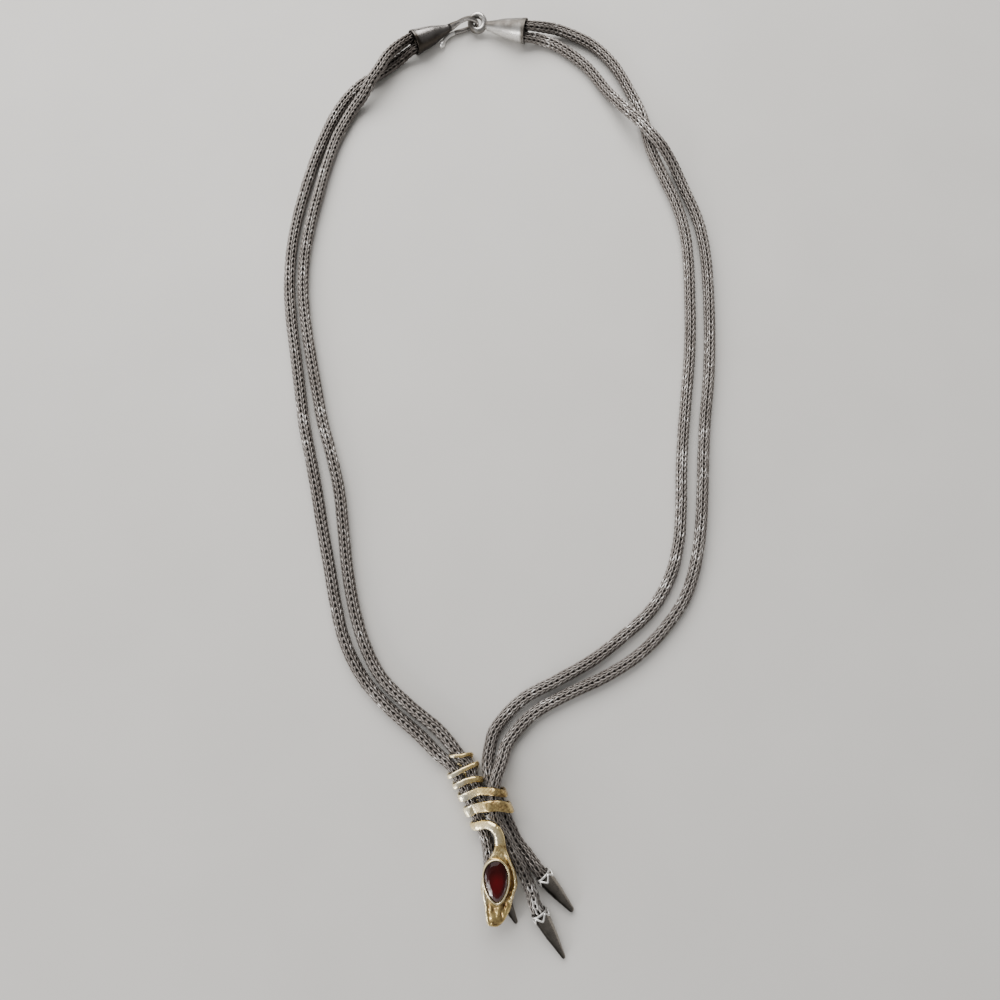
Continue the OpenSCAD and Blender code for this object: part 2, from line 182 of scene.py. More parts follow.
# ---------------------------------------------------------------- materials
class Nodes:
    """Small helper over a material's node tree."""

    def __init__(self, name):
        self.mat = bpy.data.materials.new(name)
        self.mat.use_nodes = True
        self.t = self.mat.node_tree
        self.bsdf = self.t.nodes["Principled BSDF"]

    def new(self, kind, **props):
        n = self.t.nodes.new(kind)
        for k, v in props.items():
            setattr(n, k, v)
        return n

    def link(self, a, b):
        self.t.links.new(a, b)

    def put(self, node, key, val):
        s = node.inputs[key]
        if hasattr(val, "is_linked"):
            self.link(val, s)
        else:
            s.default_value = val

    def attr(self, name):
        return self.new("ShaderNodeAttribute", attribute_name=name).outputs["Fac"]

    def coords(self):
        return self.new("ShaderNodeTexCoord").outputs["Object"]

    def noise(self, scale, detail=3.0, rough=0.5, co=None):
        n = self.new("ShaderNodeTexNoise")
        self.put(n, "Vector", co or self.coords())
        self.put(n, "Scale", scale)
        self.put(n, "Detail", detail)
        self.put(n, "Roughness", rough)
        return n.outputs["Fac"]

    def math(self, op, a, b=0.0, clamp=False):
        n = self.new("ShaderNodeMath", operation=op, use_clamp=clamp)
        self.put(n, 0, a)
        self.put(n, 1, b)
        return n.outputs[0]

    def span(self, val, lo, hi, out_lo=0.0, out_hi=1.0):
        n = self.new("ShaderNodeMapRange", clamp=True, interpolation_type="SMOOTHSTEP")
        self.put(n, "Value", val)
        self.put(n, "From Min", lo)
        self.put(n, "From Max", hi)
        self.put(n, "To Min", out_lo)
        self.put(n, "To Max", out_hi)
        return n.outputs["Result"]

    def ramp(self, fac, *stops):
        n = self.new("ShaderNodeValToRGB")
        e = n.color_ramp.elements
        while len(e) < len(stops):
            e.new(0.5)
        for el, (p, c) in zip(e, stops):
            el.position = p
            el.color = (*c, 1)
        self.put(n, "Fac", fac)
        return n.outputs["Color"]

    def mix(self, fac, a, b, blend="MIX"):
        n = self.new("ShaderNodeMix", data_type="RGBA", blend_type=blend)
        self.put(n, "Factor", fac)
        for key, val in (("A", a), ("B", b)):
            s = [i for i in n.inputs if i.name == key and i.type == "RGBA"][0]
            if hasattr(val, "is_linked"):
                self.link(val, s)
            else:
                s.default_value = (*val, 1)
        return [o for o in n.outputs if o.type == "RGBA"][0]

    def bump(self, height, dist, strength=1.0, normal=None):
        n = self.new("ShaderNodeBump")
        self.put(n, "Strength", strength)
        self.put(n, "Distance", dist)
        self.put(n, "Height", height)
        if normal is not None:
            self.link(normal, n.inputs["Normal"])
        return n.outputs["Normal"]

    def out(self, **kw):
        for k, v in kw.items():
            self.put(self.bsdf, k.replace("_", " "), v)
        return self.mat


def weave_silver():
    n = Nodes("woven_silver")
    wear = n.attr("wear")
    tint = n.attr("tint")
    patch = n.noise(55, 3, 0.6)
    grain = n.noise(2600, 2, 0.6)
    bright = n.math("ADD", wear, n.math("MULTIPLY", n.math("SUBTRACT", patch, 0.5), 0.5))
    bright = n.math("ADD", bright, n.math("MULTIPLY", n.math("SUBTRACT", grain, 0.5), 0.18))
    bright = n.math("ADD", bright, n.math("MULTIPLY", n.math("SUBTRACT", tint, 0.5), 0.22), clamp=True)
    # The brightest stop serves mainly the painted highlight spots.
    col = n.ramp(bright, (0.0, (0.026, 0.021, 0.018)), (0.3, (0.075, 0.063, 0.055)),
                 (0.62, (0.196, 0.176, 0.163)), (0.94, (0.305, 0.282, 0.265)), (1.0, (0.72, 0.70, 0.68)))
    rough = n.span(bright, 0.1, 0.95, 0.70, 0.50)
    return n.out(Base_Color=col, Metallic=1.0, Roughness=rough, Normal=n.bump(grain, 0.00002, 0.6))


# A dark tube inside each strand: painted shade for the shadowed inside of the chain, seen through the loops.
def core_dark():
    n = Nodes("shade_core")
    g = n.noise(1800, 3, 0.6)
    col = n.ramp(g, (0.3, (0.006, 0.005, 0.005)), (0.7, (0.03, 0.026, 0.022)))
    return n.out(Base_Color=col, Metallic=0.5, Roughness=0.75, Normal=n.bump(g, 0.00005, 0.6))


def polished_silver(name, base, tarnish_and_shade, rough_lo=0.12, rough_hi=0.34, dull=0.12):
    n = Nodes(name)
    worn_and_lit = n.attr("wear")
    big = n.noise(160, 4, 0.6)
    fine = n.noise(900, 4, 0.65)
    streak_map = n.new("ShaderNodeMapping")
    n.link(n.coords(), streak_map.inputs["Vector"])
    streak_map.inputs["Rotation"].default_value = (0.3, 0.2, 0.6)
    streak_map.inputs["Scale"].default_value = (1, 12, 1)
    scratch = n.noise(1400, 3, 0.7, streak_map.outputs["Vector"])
    # The darkening mixes real tarnish from the noise with painted shade where the wear attribute is low; the tarnish
    # colour serves both.
    dirt_and_shade = n.math("ADD", n.math("MULTIPLY", n.math("SUBTRACT", 1.0, worn_and_lit), 1.06),
                  n.math("MULTIPLY", n.math("SUBTRACT", big, 0.45), 0.9), clamp=True)
    col = n.mix(dirt_and_shade, base, tarnish_and_shade)
    rough = n.math("ADD", n.span(fine, 0.3, 0.75, rough_lo, rough_hi), n.math("MULTIPLY", dirt_and_shade, dull))
    nrm = n.bump(scratch, 0.000012, 0.5, n.bump(big, 0.00025, 0.35))
    return n.out(Base_Color=col, Metallic=1.0, Roughness=rough, Normal=nrm)


def snake_gold():
    n = Nodes("hammered_gold")
    cav = n.attr("wear")
    big = n.noise(330, 3, 0.55)
    fine = n.noise(2200, 3, 0.6)
    lit_pale = n.attr("tint")
    lift = n.math("ADD", cav, n.math("MULTIPLY", n.math("SUBTRACT", big, 0.5), 0.22))
    lift = n.math("ADD", lift, n.math("MULTIPLY", n.math("SUBTRACT", fine, 0.5), 0.12), clamp=True)
    # Two copies of the gold, warm and a pale lit cream; the painted light attribute mixes them, so the cream is painted
    # light.
    warm = n.ramp(lift, (0.0, (0.050, 0.022, 0.008)), (0.35, (0.26, 0.162, 0.070)),
                  (0.7, (0.72, 0.54, 0.225)), (1.0, (1.0, 0.79, 0.375)))
    lit_cream = n.ramp(lift, (0.0, (0.12, 0.08, 0.035)), (0.35, (0.50, 0.39, 0.21)),
                   (0.7, (0.94, 0.83, 0.57)), (1.0, (1.0, 0.95, 0.76)))
    col = n.mix(lit_pale, warm, lit_cream)
    rough = n.math("ADD", n.span(lift, 0.1, 0.9, 0.45, 0.24), n.math("MULTIPLY", n.math("SUBTRACT", fine, 0.5), 0.12))
    nrm = n.bump(fine, 0.00002, 0.4, n.bump(big, 0.00015, 0.5))
    return n.out(Base_Color=col, Metallic=1.0, Roughness=rough, Normal=nrm)


def garnet():
    n = Nodes("garnet")
    cloud = n.noise(420, 2, 0.5)
    # Painted light in the stone: brighter red towards the middle, near black towards the edges.
    deep = n.math("ADD", n.attr("glow"), n.math("MULTIPLY", n.math("SUBTRACT", cloud, 0.5), 0.5), clamp=True)
    col = n.ramp(deep, (0.0, (0.014, 0.004, 0.004)), (0.5, (0.048, 0.005, 0.005)), (1.0, (0.105, 0.005, 0.007)))
    return n.out(Base_Color=col, Metallic=0.0, Roughness=0.06, IOR=1.45,
                 Specular_IOR_Level=0.04, Transmission_Weight=0.20)


def floor_paint():
    n = Nodes("floor_plain")
    g = n.noise(30, 3, 0.5)
    col = n.ramp(g, (0.3, (0.66, 0.645, 0.62)), (0.7, (0.69, 0.675, 0.65)))
    return n.out(Base_Color=col, Roughness=0.55, Normal=n.bump(n.noise(900, 2, 0.5), 0.00003, 0.3))


WEAVE = weave_silver()
CORE = core_dark()
CAPS = polished_silver("polished_silver", (0.93, 0.915, 0.89), (0.13, 0.119, 0.107), 0.10, 0.26, 0.34)
HOOK_SILVER = polished_silver("hook_silver", (0.38, 0.362, 0.35), (0.05, 0.043, 0.036), 0.18, 0.36)
TIPS = polished_silver("tip_silver", (0.29, 0.265, 0.235), (0.010, 0.008, 0.006), 0.20, 0.38)
RIMS = polished_silver("rim_silver", (0.96, 0.95, 0.93), (0.30, 0.28, 0.26), 0.34, 0.50)
GOLD = snake_gold()
GARNET = garnet()

# ------------------------------------------------------------------- strands
RF, RS, RG = 1.6, 1.45, 1.4
LAY = RF
hook_mouth, hook_end = vec(-26.2, 119.7, 3.55), vec(-15.2, 126.4, 2.3)
ring_mouth, ring_end = vec(7.9, 123.9, 3.55), vec(-4.7, 127, 2.4)
ring_centre = vec(-6.9, 127.7, 2.7)
lo_mouth, lo_point = vec(-1.1, -114.9, 2.3), vec(4, -124.6, 0.7)
li_mouth, li_point = vec(-2.5, -99.3, 2.5), vec(1.1, -107.4, 1.1)
ro_mouth, ro_point = vec(9.1, -121.5, 2.3), vec(15.2, -132.1, 0.7)
ri_mouth, ri_point = vec(10, -113.3, 2.3), vec(17.4, -121.9, 0.9)


def wr(p, r):
    return [p[0], p[1], p[2], r]


LEFT_OUTER = (
    [wr(in_cone(hook_mouth, hook_end, -1.22, -0.95, d), RG) for d in (1, -1.2)] +
    [[-30.5, 115.3, 1.8, RF], [-35, 111.6, LAY, RF], [-42.8, 105.7, LAY, RF],
     [-48.5, 97.5, LAY, RF], [-52.2, 88.3, LAY, RF], [-55.1, 78.7, LAY, RF],
     [-57.3, 69, LAY, RF], [-59, 59.2, LAY, RF], [-59.8, 49.2, LAY, RF],
     [-59.6, 39.2, LAY, RF], [-58.4, 29.3, LAY, RF], [-56.7, 19.5, LAY, RF],
     [-55, 9.6, LAY, RF], [-53.3, -0.3, LAY, RF], [-51, -10, LAY, RF],
     [-48.8, -19.7, LAY, RF], [-46.8, -29.5, LAY, RF], [-44.6, -39.3, LAY, RF],
     [-42.5, -49, LAY, RF], [-39.7, -58.6, LAY, RF], [-34.9, -67.5, LAY, RF],
     [-28.2, -74.8, LAY, RF], [-20.6, -81.2, LAY, RF],
     wr(ab(-6, -2.2, 2), RF), wr(ab(-3, -0.8, 2.45), RS), wr(ab(0, -0.1, 2.45), RS),
     wr(ab(4, 0, 2.45), RS), wr(ab(8, 0, 2.45), RS), wr(ab(11, -0.2, 2.45), RS),
     wr(ab(14, -0.3, 2.45), RS), [-3.6, -104.6, 2.3, RS], [-2.9, -107, 2.1, RF],
     [-2.5, -110, 2.1, RF]] +
    [wr(in_cone(lo_mouth, lo_point, 0, 0, d), RF) for d in (-2.2, 0, 1.3)])
LEFT_INNER = (
    [wr(in_cone(hook_mouth, hook_end, 1.22, 0.95, d), RG) for d in (1, 0)] +
    [[-30.8, 117.2, 4.8, RF], [-33.9, 113.3, 5.2, RF], [-36, 109.3, 5.2, RF],
     [-38.4, 105.6, 4.6, RF], [-41, 101.4, 3, RF], [-44.2, 97.4, 1.8, RF],
     [-48.4, 88.4, LAY, RF], [-51.1, 78.8, LAY, RF], [-53.1, 69, LAY, RF],
     [-54.9, 59.3, LAY, RF], [-55.9, 49.3, LAY, RF], [-55.8, 39.3, LAY, RF],
     [-54.5, 29.4, LAY, RF], [-52.6, 19.5, LAY, RF], [-50.5, 9.8, LAY, RF],
     [-48.3, 0, LAY, RF], [-45.4, -9.5, LAY, RF], [-42.9, -19.2, LAY, RF],
     [-41.4, -29.1, LAY, RF], [-40, -39, LAY, RF], [-38, -48.8, LAY, RF],
     [-35, -58.4, LAY, RF], [-30.4, -67.1, LAY, RF], [-23.4, -74, LAY, RF],
     [-15.6, -80.1, 1.8, RF],
     wr(ab(-6, 1.9, 2.1), RF), wr(ab(-3, 2.6, 2.45), RS), wr(ab(0, 3.6, 2.45), RS),
     wr(ab(4, 3, 2.45), RS), wr(ab(8, 3, 2.45), RS)] +
    [wr(in_cone(li_mouth, li_point, 0, 0, d), 1.25) for d in (-2, 0, 1.3)])
RIGHT_OUTER = (
    [wr(in_cone(ring_mouth, ring_end, 1.25, -0.9, d), RG) for d in (1, 0)] +
    [[12.6, 122.5, 1.7, RF], [18.9, 119.5, LAY, RF], [26.5, 112.7, LAY, RF],
     [32.1, 104.1, 2, RF], [37.6, 95.9, 3.9, RF], [40.7, 91.8, 4.9, RF],
     [43.6, 87.8, 5.1, RF], [46.6, 83.8, 5, RF], [49.5, 79.7, 3.8, RF],
     [52, 75.4, 2.2, RF], [53.9, 70.8, LAY, RF], [57.2, 61.2, LAY, RF],
     [58.7, 51.4, LAY, RF], [59, 41.4, LAY, RF], [58.8, 31.4, LAY, RF],
     [58.3, 21.4, LAY, RF], [57.4, 11.5, LAY, RF], [56, 1.6, LAY, RF],
     [54.9, -8.3, LAY, RF], [54.1, -18.2, LAY, RF], [53.1, -28.2, LAY, RF],
     [51.3, -38, LAY, RF], [47.9, -47.5, LAY, RF], [42.1, -55.6, LAY, RF],
     [34.9, -62.4, LAY, RF], [26.3, -67.6, LAY, RF], [17.2, -71.7, LAY, RF],
     [8.4, -76.5, LAY, RF], [2.2, -83, 1.8, RF], [0.4, -87.6, 3.6, RF],
     wr(ab(5.6, 8.1, 5.2), RS), wr(ab(7, 7, 5.45), RS), wr(ab(9, 5.9, 5.5), RS),
     wr(ab(11.4, 4.7, 5.6), RS), [-1, -100.3, 5.6, RS], [1, -103.8, 5.2, RS],
     [3, -107.8, 4.9, RS], [4.3, -110.3, 4.6, RF], [5.6, -112.7, 4.1, RF],
     [7.6, -117.3, 2.8, RF]] +
    [wr(in_cone(ro_mouth, ro_point, 0, 0, d), RF) for d in (-2, 0, 1.3)])
RIGHT_INNER = (
    [wr(in_cone(ring_mouth, ring_end, -1.25, 0.9, d), RG) for d in (1, 0, -1.2)] +
    [[13.5, 125.4, 3.4, RF], [19.2, 125.2, 2.1, RF], [28.1, 120.8, LAY, RF],
     [34.6, 113.4, LAY, RF], [39.1, 104.4, LAY, RF], [42.7, 95.2, LAY, RF],
     [44.4, 85.3, LAY, RF], [47.7, 75.8, LAY, RF], [51.2, 66.5, LAY, RF],
     [53.3, 56.8, LAY, RF], [53.8, 46.8, LAY, RF], [53.6, 36.8, LAY, RF],
     [53.2, 26.7, LAY, RF], [52.3, 16.8, LAY, RF], [51, 6.9, LAY, RF],
     [49.7, -3.1, LAY, RF], [48.7, -13, LAY, RF], [48.1, -22.9, LAY, RF],
     [47, -32.8, LAY, RF], [44.2, -42.3, LAY, RF], [38.9, -50.8, LAY, RF],
     [31.5, -57.4, LAY, RF], [23.5, -63.4, LAY, RF], [14.8, -68.2, LAY, RF],
     [5.8, -72.9, LAY, RF], [-0.8, -79.6, LAY, RF], [-2.4, -84, LAY, RF],
     [-3, -88, 1.9, RF], wr(ab(4.3, 6.85, 2.35), RS), wr(ab(7, 6.2, 2.45), RS),
     wr(ab(10, 6.2, 2.45), RS), wr(ab(13, 6.3, 2.45), RS), [1.6, -101, 2.2, RS],
     [2.9, -103.6, 1.8, RS], [3.9, -105.8, LAY, RS], [5.7, -108.2, LAY, RF]] +
    [wr(in_cone(ri_mouth, ri_point, 0, 0, d), RF) for d in (-2.2, 0, 1.3)])


class Route:
    """A strand's centre line, dense and smooth, with its side and up vectors."""

    def __init__(self, rows):
        q = through(rows, 14)
        q[:, 2] = np.maximum(q[:, 2], q[:, 3])
        s, q = resample(q, 0.25)
        q = soften(q, 5)
        q[:, 2] = np.maximum(q[:, 2], q[:, 3])
        self.s, q = resample(q, 0.25)
        self.length = self.s[-1]
        self.c, self.r = q[:, :3], q[:, 3]
        t = unit(np.gradient(self.c, axis=0))
        side = unit(np.cross(t, (0, 0, 1)))
        self.side, self.up, self.t = side, np.cross(side, t), t

    def at(self, s, arr):
        s = np.clip(s, 0, self.length)
        if arr.ndim == 1:
            return np.interp(s, self.s, arr)
        return np.stack([np.interp(s, self.s, arr[:, j]) for j in range(3)], -1)


# One loop of the weave, half of it: place along (in pitches), angle from the
# column's middle (degrees), distance from the strand's centre (in radii).
HALF_LOOP = np.array([
    [-0.04, 8.0, 0.50], [0.16, 9.5, 0.74], [0.42, 14.0, 0.845], [0.72, 19.5, 0.835],
    [1.00, 22.5, 0.80], [1.28, 19.5, 0.735], [1.46, 8.0, 0.69]])
PITCH = 1.58
COLUMNS = 6


def strand(name, rows, turn, way, seed, painted_light_spots):
    """A woven strand: six columns of interlocked wire loops over a dark core of painted shade."""
    rt = Route(rows)
    gen = np.random.default_rng(seed)
    half = HALF_LOOP
    loop = np.concatenate([half * (1, 1, 1), (half * (1, -1, 1))[::-1]])
    m, sides = len(loop), 6
    count = int(rt.length / PITCH) - 1
    n_idx, k_idx = np.meshgrid(np.arange(count), np.arange(COLUMNS), indexing="ij")
    n_idx, k_idx = n_idx.ravel(), k_idx.ravel()
    total = len(n_idx)
    s0 = (n_idx + (k_idx % 3) / 3 + 0.15 + gen.normal(0, 0.018, total)) * PITCH
    swell = 1 + gen.normal(0, 0.012, total)
    tint = gen.random(total)
    along = loop[None, :, 0] * PITCH
    s = s0[:, None] + along if way > 0 else rt.length - (s0[:, None] + along)
    s = np.clip(s, 0.02, rt.length - 0.02)
    twist = turn(s / rt.length) if callable(turn) else turn
    ang = np.radians(90 + 60 * k_idx[:, None] + loop[None, :, 1] + twist)
    r = rt.at(s, rt.r)
    rho = loop[None, :, 2] * swell[:, None]
    side, up, c = rt.at(s, rt.side), rt.at(s, rt.up), rt.at(s, rt.c)
    radial = np.cos(ang)[..., None] * side + np.sin(ang)[..., None] * up
    p = c + radial * (rho * r)[..., None]
    t = np.empty_like(p)
    t[:, 1:-1] = p[:, 2:] - p[:, :-2]
    t[:, 0], t[:, -1] = p[:, 1] - p[:, 0], p[:, -1] - p[:, -2]
    t = unit(t)
    nrm = unit(radial - t * np.sum(radial * t, -1, keepdims=True))
    bi = np.cross(t, nrm)
    phi = 2 * math.pi * (np.arange(sides) + 0.5) / sides
    wide = (0.24 / 1.6 * r)[..., None, None]
    tall = (0.25 / 1.6 * r)[..., None, None]
    ring = (p[:, :, None, :] + bi[:, :, None, :] * np.cos(phi)[None, None, :, None] * wide
            + nrm[:, :, None, :] * np.sin(phi)[None, None, :, None] * tall)
    out = (rho * r)[..., None] + np.sum(nrm * radial, -1)[..., None] * np.sin(phi) * tall[..., 0]
    wear = 0.88 * step01((out / r[..., None] - 0.66) / 0.29)
    # Painted light spots: each adds a soft patch of painted highlight (much above 0) or painted shade (much below 0)
    # round a place.
    for place, reach, much in painted_light_spots:
        wear = wear + much * np.exp(-np.sum((ring - vec(*place)) ** 2, -1) / reach ** 2) * (0.35 + wear)
    wear = np.clip(wear, 0, 1)
    ring[..., 2] = np.maximum(ring[..., 2], 0.0)
    q = grid_quads(m, sides)
    quads = (q[None] + (np.arange(total) * m * sides)[:, None, None]).reshape(-1, 4)
    g = Parts("wear", "tint")
    g.add(ring.reshape(-1, 3), quads, wear=wear.ravel(),
          tint=np.repeat(tint, m * sides))
    # the dark core, a tube of painted shade standing in for the shadowed inside of the chain
    cs = np.arange(0, len(rt.s), 6)
    cc, ss, uu, rr = rt.c[cs], rt.side[cs], rt.up[cs], rt.r[cs] * 0.71
    w = 2 * math.pi * np.arange(10) / 10
    core = cc[:, None] + (np.cos(w)[None, :, None] * ss[:, None] + np.sin(w)[None, :, None] * uu[:, None]) * rr[:, None, None]
    g.add(core.reshape(-1, 3), grid_quads(len(cs), 10), slot=1)
    return g.make(name, [WEAVE, CORE]), rt


def wander(base, *waves):
    return lambda f: base + sum(a * np.sin(2 * math.pi * (k * f + p)) for a, k, p in waves)


strands = {}
# Painted shade on the strands at the hook cap's mouth.
CAP_SHADE = ((-28.5, 117.5, 3.5), 7.5, -0.35)
for nm, rows, turn, way, seed, painted_light_spots in (
        ("left_outer", LEFT_OUTER, wander(0, (7, 1.5, 0.2), (4, 4, 0.7)), 1, 3, [CAP_SHADE]),
        ("left_inner", LEFT_INNER, wander(6, (9, 1.2, 0.6), (4, 3.5, 0.1)), 1, 5, [CAP_SHADE]),
        ("right_outer", RIGHT_OUTER, wander(-3, (6, 1.3, 0.9), (3, 5, 0.4)), -1, 7,
         # Painted highlights on the right outer strand just before its end tip's collar.
         [((6.9, -119.2, 3), 2.4, 2.0), ((5.2, -116, 4), 1.6, 1.2)]),
        ("right_inner", RIGHT_INNER, wander(4, (8, 1.6, 0.4), (4, 4.2, 0.8)), -1, 9, [])):
    ob, rt = strand("weave_" + nm, rows, turn, way, seed, painted_light_spots)
    piece(ob, "woven_silver", "chain_" + nm)
    strands[nm] = rt


# --------------------------------------------------------------- caps, tips
def frame_along(a, b):
    d = unit(b - a)
    s = unit(np.cross((0, 0, 1), d))
    return d, s, np.cross(d, s)


def lathe(g, a, b, profile, sides=72, slot=0, side_darkening=None):
    """profile rows: distance from the mouth, radius, brightness. The function given last, of the angle round the axis,
    is taken off the brightness there: a darker band.
    """
    d, s, u = frame_along(a, b)
    w = 2 * math.pi * np.arange(sides) / sides
    rows = np.asarray(profile, float)
    v = (a + d * rows[:, 0, None, None] + (np.cos(w)[None, :, None] * s + np.sin(w)[None, :, None] * u) * rows[:, 1, None, None])
    wear = np.repeat(rows[:, 2][:, None], sides, 1)
    if side_darkening is not None:
        wear = np.clip(wear - side_darkening(w)[None], 0, 1)
    g.add(v.reshape(-1, 3), grid_quads(len(rows), sides, flip=True), slot=slot, wear=wear.ravel())


def dark_side(centre, half, much):
    """A darker band round the axis: middle angle (degrees, 0 left of the axis seen from above, 90 up), half width. On
    the ring cap and the end tips it is painted shade, standing in for a dark reflection.
    """
    def f(w):
        off = np.abs((np.degrees(w) - centre + 180) % 360 - 180)
        return much * (1 - step01(off / half))
    return f


def wire(g, pts, radius, sides=16, slot=0, wear=1.0, ends=True, dark=None, depth=0.9):
    """A round wire along pts; radius is a number or one a point. dark is the way the darker flank faces: painted shade,
    standing in for a dark reflection.
    """
    p = np.asarray(pts, float)
    n = len(p)
    r = np.broadcast_to(np.asarray(radius, float), (n,))
    t = unit(np.gradient(p, axis=0))
    ref = unit(np.cross(t[0], (0.3, 0.2, 1)))
    frames = []
    for i in range(n):
        ref = unit(ref - t[i] * np.dot(ref, t[i]))
        frames.append(ref)
    f = np.array(frames)
    h = np.cross(t, f)
    w = 2 * math.pi * np.arange(sides) / sides
    out = np.cos(w)[None, :, None] * f[:, None] + np.sin(w)[None, :, None] * h[:, None]
    v = p[:, None] + out * r[:, None, None]
    verts = v.reshape(-1, 3)
    wear = np.full(len(verts), float(wear))
    if dark is not None:
        wear = np.clip(wear - depth * step01((out @ unit(vec(*dark)) + 0.1).ravel() / 0.9), 0, 1)
    if ends:
        wear = np.r_[wear, wear[:sides].mean(), wear[-sides:].mean()]
    tris = []
    if ends:
        verts = np.concatenate([verts, p[:1] - t[:1] * r[0] * 0.15, p[-1:] + t[-1:] * r[-1] * 0.15])
        a, b = n * sides, n * sides + 1
        tris = [[a, (k + 1) % sides, k] for k in range(sides)]
        tris += [[b, (n - 1) * sides + k, (n - 1) * sides + (k + 1) % sides] for k in range(sides)]
    g.add(verts, grid_quads(n, sides), tris, slot=slot, wear=wear)


def ball(g, c, r, slot=0, wear=1.0, rings=14, sides=24):
    th = np.linspace(0.02, math.pi - 0.02, rings)
    w = 2 * math.pi * np.arange(sides) / sides
    v = c + r * np.stack([np.sin(th)[:, None] * np.cos(w), np.sin(th)[:, None] * np.sin(w),
                          np.cos(th)[:, None] * np.ones(sides)], -1)
    g.add(v.reshape(-1, 3), grid_quads(rings, sides), slot=slot, wear=wear)


def cap_profile(length, mouth, bore, deep, end, lip=1.0):
    """From the bore's floor, out to the rim, back along the cone to its narrow end."""
    m, b, e = mouth / 2, bore / 2, end / 2
    rows = [[deep, 0.02, 0.0], [deep, b * 0.6, 0.0], [deep, b - 0.05, 0.05], [deep * 0.5, b, 0.15],
            [0.12, b, 0.5 * lip], [0.03, b + 0.05, lip], [0.0, (m + b) / 2, lip], [0.03, m - 0.05, lip],
            [0.14, m, lip], [0.42, m, 0.95 * lip], [0.50, m - 0.04, 0.4 * lip], [0.64, m - 0.04, 0.6 * lip]]
    mid = length * 0.52
    r_mid = e + (m - e) * 0.58
    for f in np.linspace(0.08, 1, 14):
        x = 0.64 + (length - e - 0.64) * f
        if x < mid:
            r = (m - 0.04) + (r_mid - m + 0.04) * ((x - 0.64) / (mid - 0.64)) ** 1.08
        else:
            r = r_mid + (e - r_mid) * ((x - mid) / (length - e - mid)) ** 0.96
        rows.append([x, r, 0.9])
    for v in (20, 40, 60, 75, 88):
        rows.append([length - e + e * math.sin(math.radians(v)), e * math.cos(math.radians(v)), 0.9])
    rows.append([length, 0.01, 0.9])
    return rows


HOOK = [[-15.1, 126.5, 2.4], [-13.2, 126.9, 3.3], [-11.2, 127.3, 4.2],
        [-9.4, 127.4, 4.7], [-8, 127.3, 4.3], [-7.15, 127.5, 2.9], [-7.4, 127.9, 1.3],
        [-9.2, 127.8, 0.72], [-11.4, 126.9, 0.68], [-13.6, 126.2, 0.68],
        [-15.4, 125.3, 0.68], [-16.7, 124, 0.72], [-17.4, 122.7, 0.85], [-17.6, 122, 0.95]]

# Middle angles of the darker bands: the hook cap's lower right flank, and the ring cap's top, which is painted shade.
HOOK_DARK, RING_DARK = 200, 85
g = Parts("wear")
length = float(np.linalg.norm(hook_end - hook_mouth))
lathe(g, hook_mouth, hook_end, cap_profile(length, 6.9, 6.3, 1.6, 2.4, 0.25), 96, side_darkening=dark_side(HOOK_DARK, 125, 1.0))
hp = through(HOOK, 8)
hp = np.concatenate([[hook_end - unit(hook_end - hook_mouth) * 1.2], hp])
hr = np.full(len(hp), 0.65)
hr[:14] = 0.65 + 0.45 * (1 - step01(np.arange(14) / 13))
hr[-8:] = np.linspace(0.65, 0.90, 8)
# The wire from the cap up through the ring: painted shade on its upper flank.
wire(g, hp[:-30], hr[:-30], 24, ends=False, dark=(-0.4, 0.6, 0.7), depth=1.0)
# The return leg and the ball take the lighter rim silver, a brighter copy of the hook's silver on the same wire:
# painted highlight, with a little painted shade on the flank towards +y.
wire(g, hp[-31:], hr[-31:], 24, slot=1, dark=(0.4, 0.9, 0.1), depth=0.5)
ball(g, hp[-1] + unit(vec(-0.45, -0.88, 0.1)) * 0.62, 0.93, slot=1)
piece(g.make("clasp_hook", [HOOK_SILVER, RIMS]), "polished_silver", "hook_cap")

g = Parts("wear")
length = float(np.linalg.norm(ring_end - ring_mouth))
# Ring cap: painted shade on its top flank.
lathe(g, ring_mouth, ring_end, cap_profile(length, 6.9, 6.3, 1.6, 2.8, 0.35), 96, side_darkening=dark_side(RING_DARK, 100, 0.8))
w = np.linspace(0, 2 * math.pi, 73)[:-1]
tilt = math.radians(24)
circle = np.stack([np.cos(w) * 2.1, np.sin(w) * 2.1 * math.cos(tilt), np.sin(w) * 2.1 * math.sin(tilt)], 1) + ring_centre
nrm = vec(0, -math.sin(tilt), math.cos(tilt))
rad = unit(circle - ring_centre)
ph = 2 * math.pi * np.arange(18) / 18
tor = circle[:, None] + (np.cos(ph)[None, :, None] * rad[:, None] + np.sin(ph)[None, :, None] * nrm) * 0.95
q = []
for i in range(72):
    for j in range(18):
        q.append([i * 18 + j, ((i + 1) % 72) * 18 + j, ((i + 1) % 72) * 18 + (j + 1) % 18, i * 18 + (j + 1) % 18])
facing = np.cos(ph)[None, :, None] * rad[:, None] + np.sin(ph)[None, :, None] * nrm
# Painted light on the ring: lighter on the faces turned up and towards +y, painted shade on the left of the ring where
# the hook passes and on the faces towards -y.
ring_light_and_shade = 0.62 + 0.3 * facing[..., 2] * step01(facing[..., 1] + 0.6) - 0.55 * step01((-rad[:, None, 0] - 0.1) / 0.9) - 0.35 * step01((-facing[..., 1] - 0.2) / 0.8)
g.add(tor.reshape(-1, 3), q, wear=np.clip(ring_light_and_shade, 0, 1).ravel())
piece(g.make("clasp_ring", [CAPS]), "polished_silver", "ring_cap")


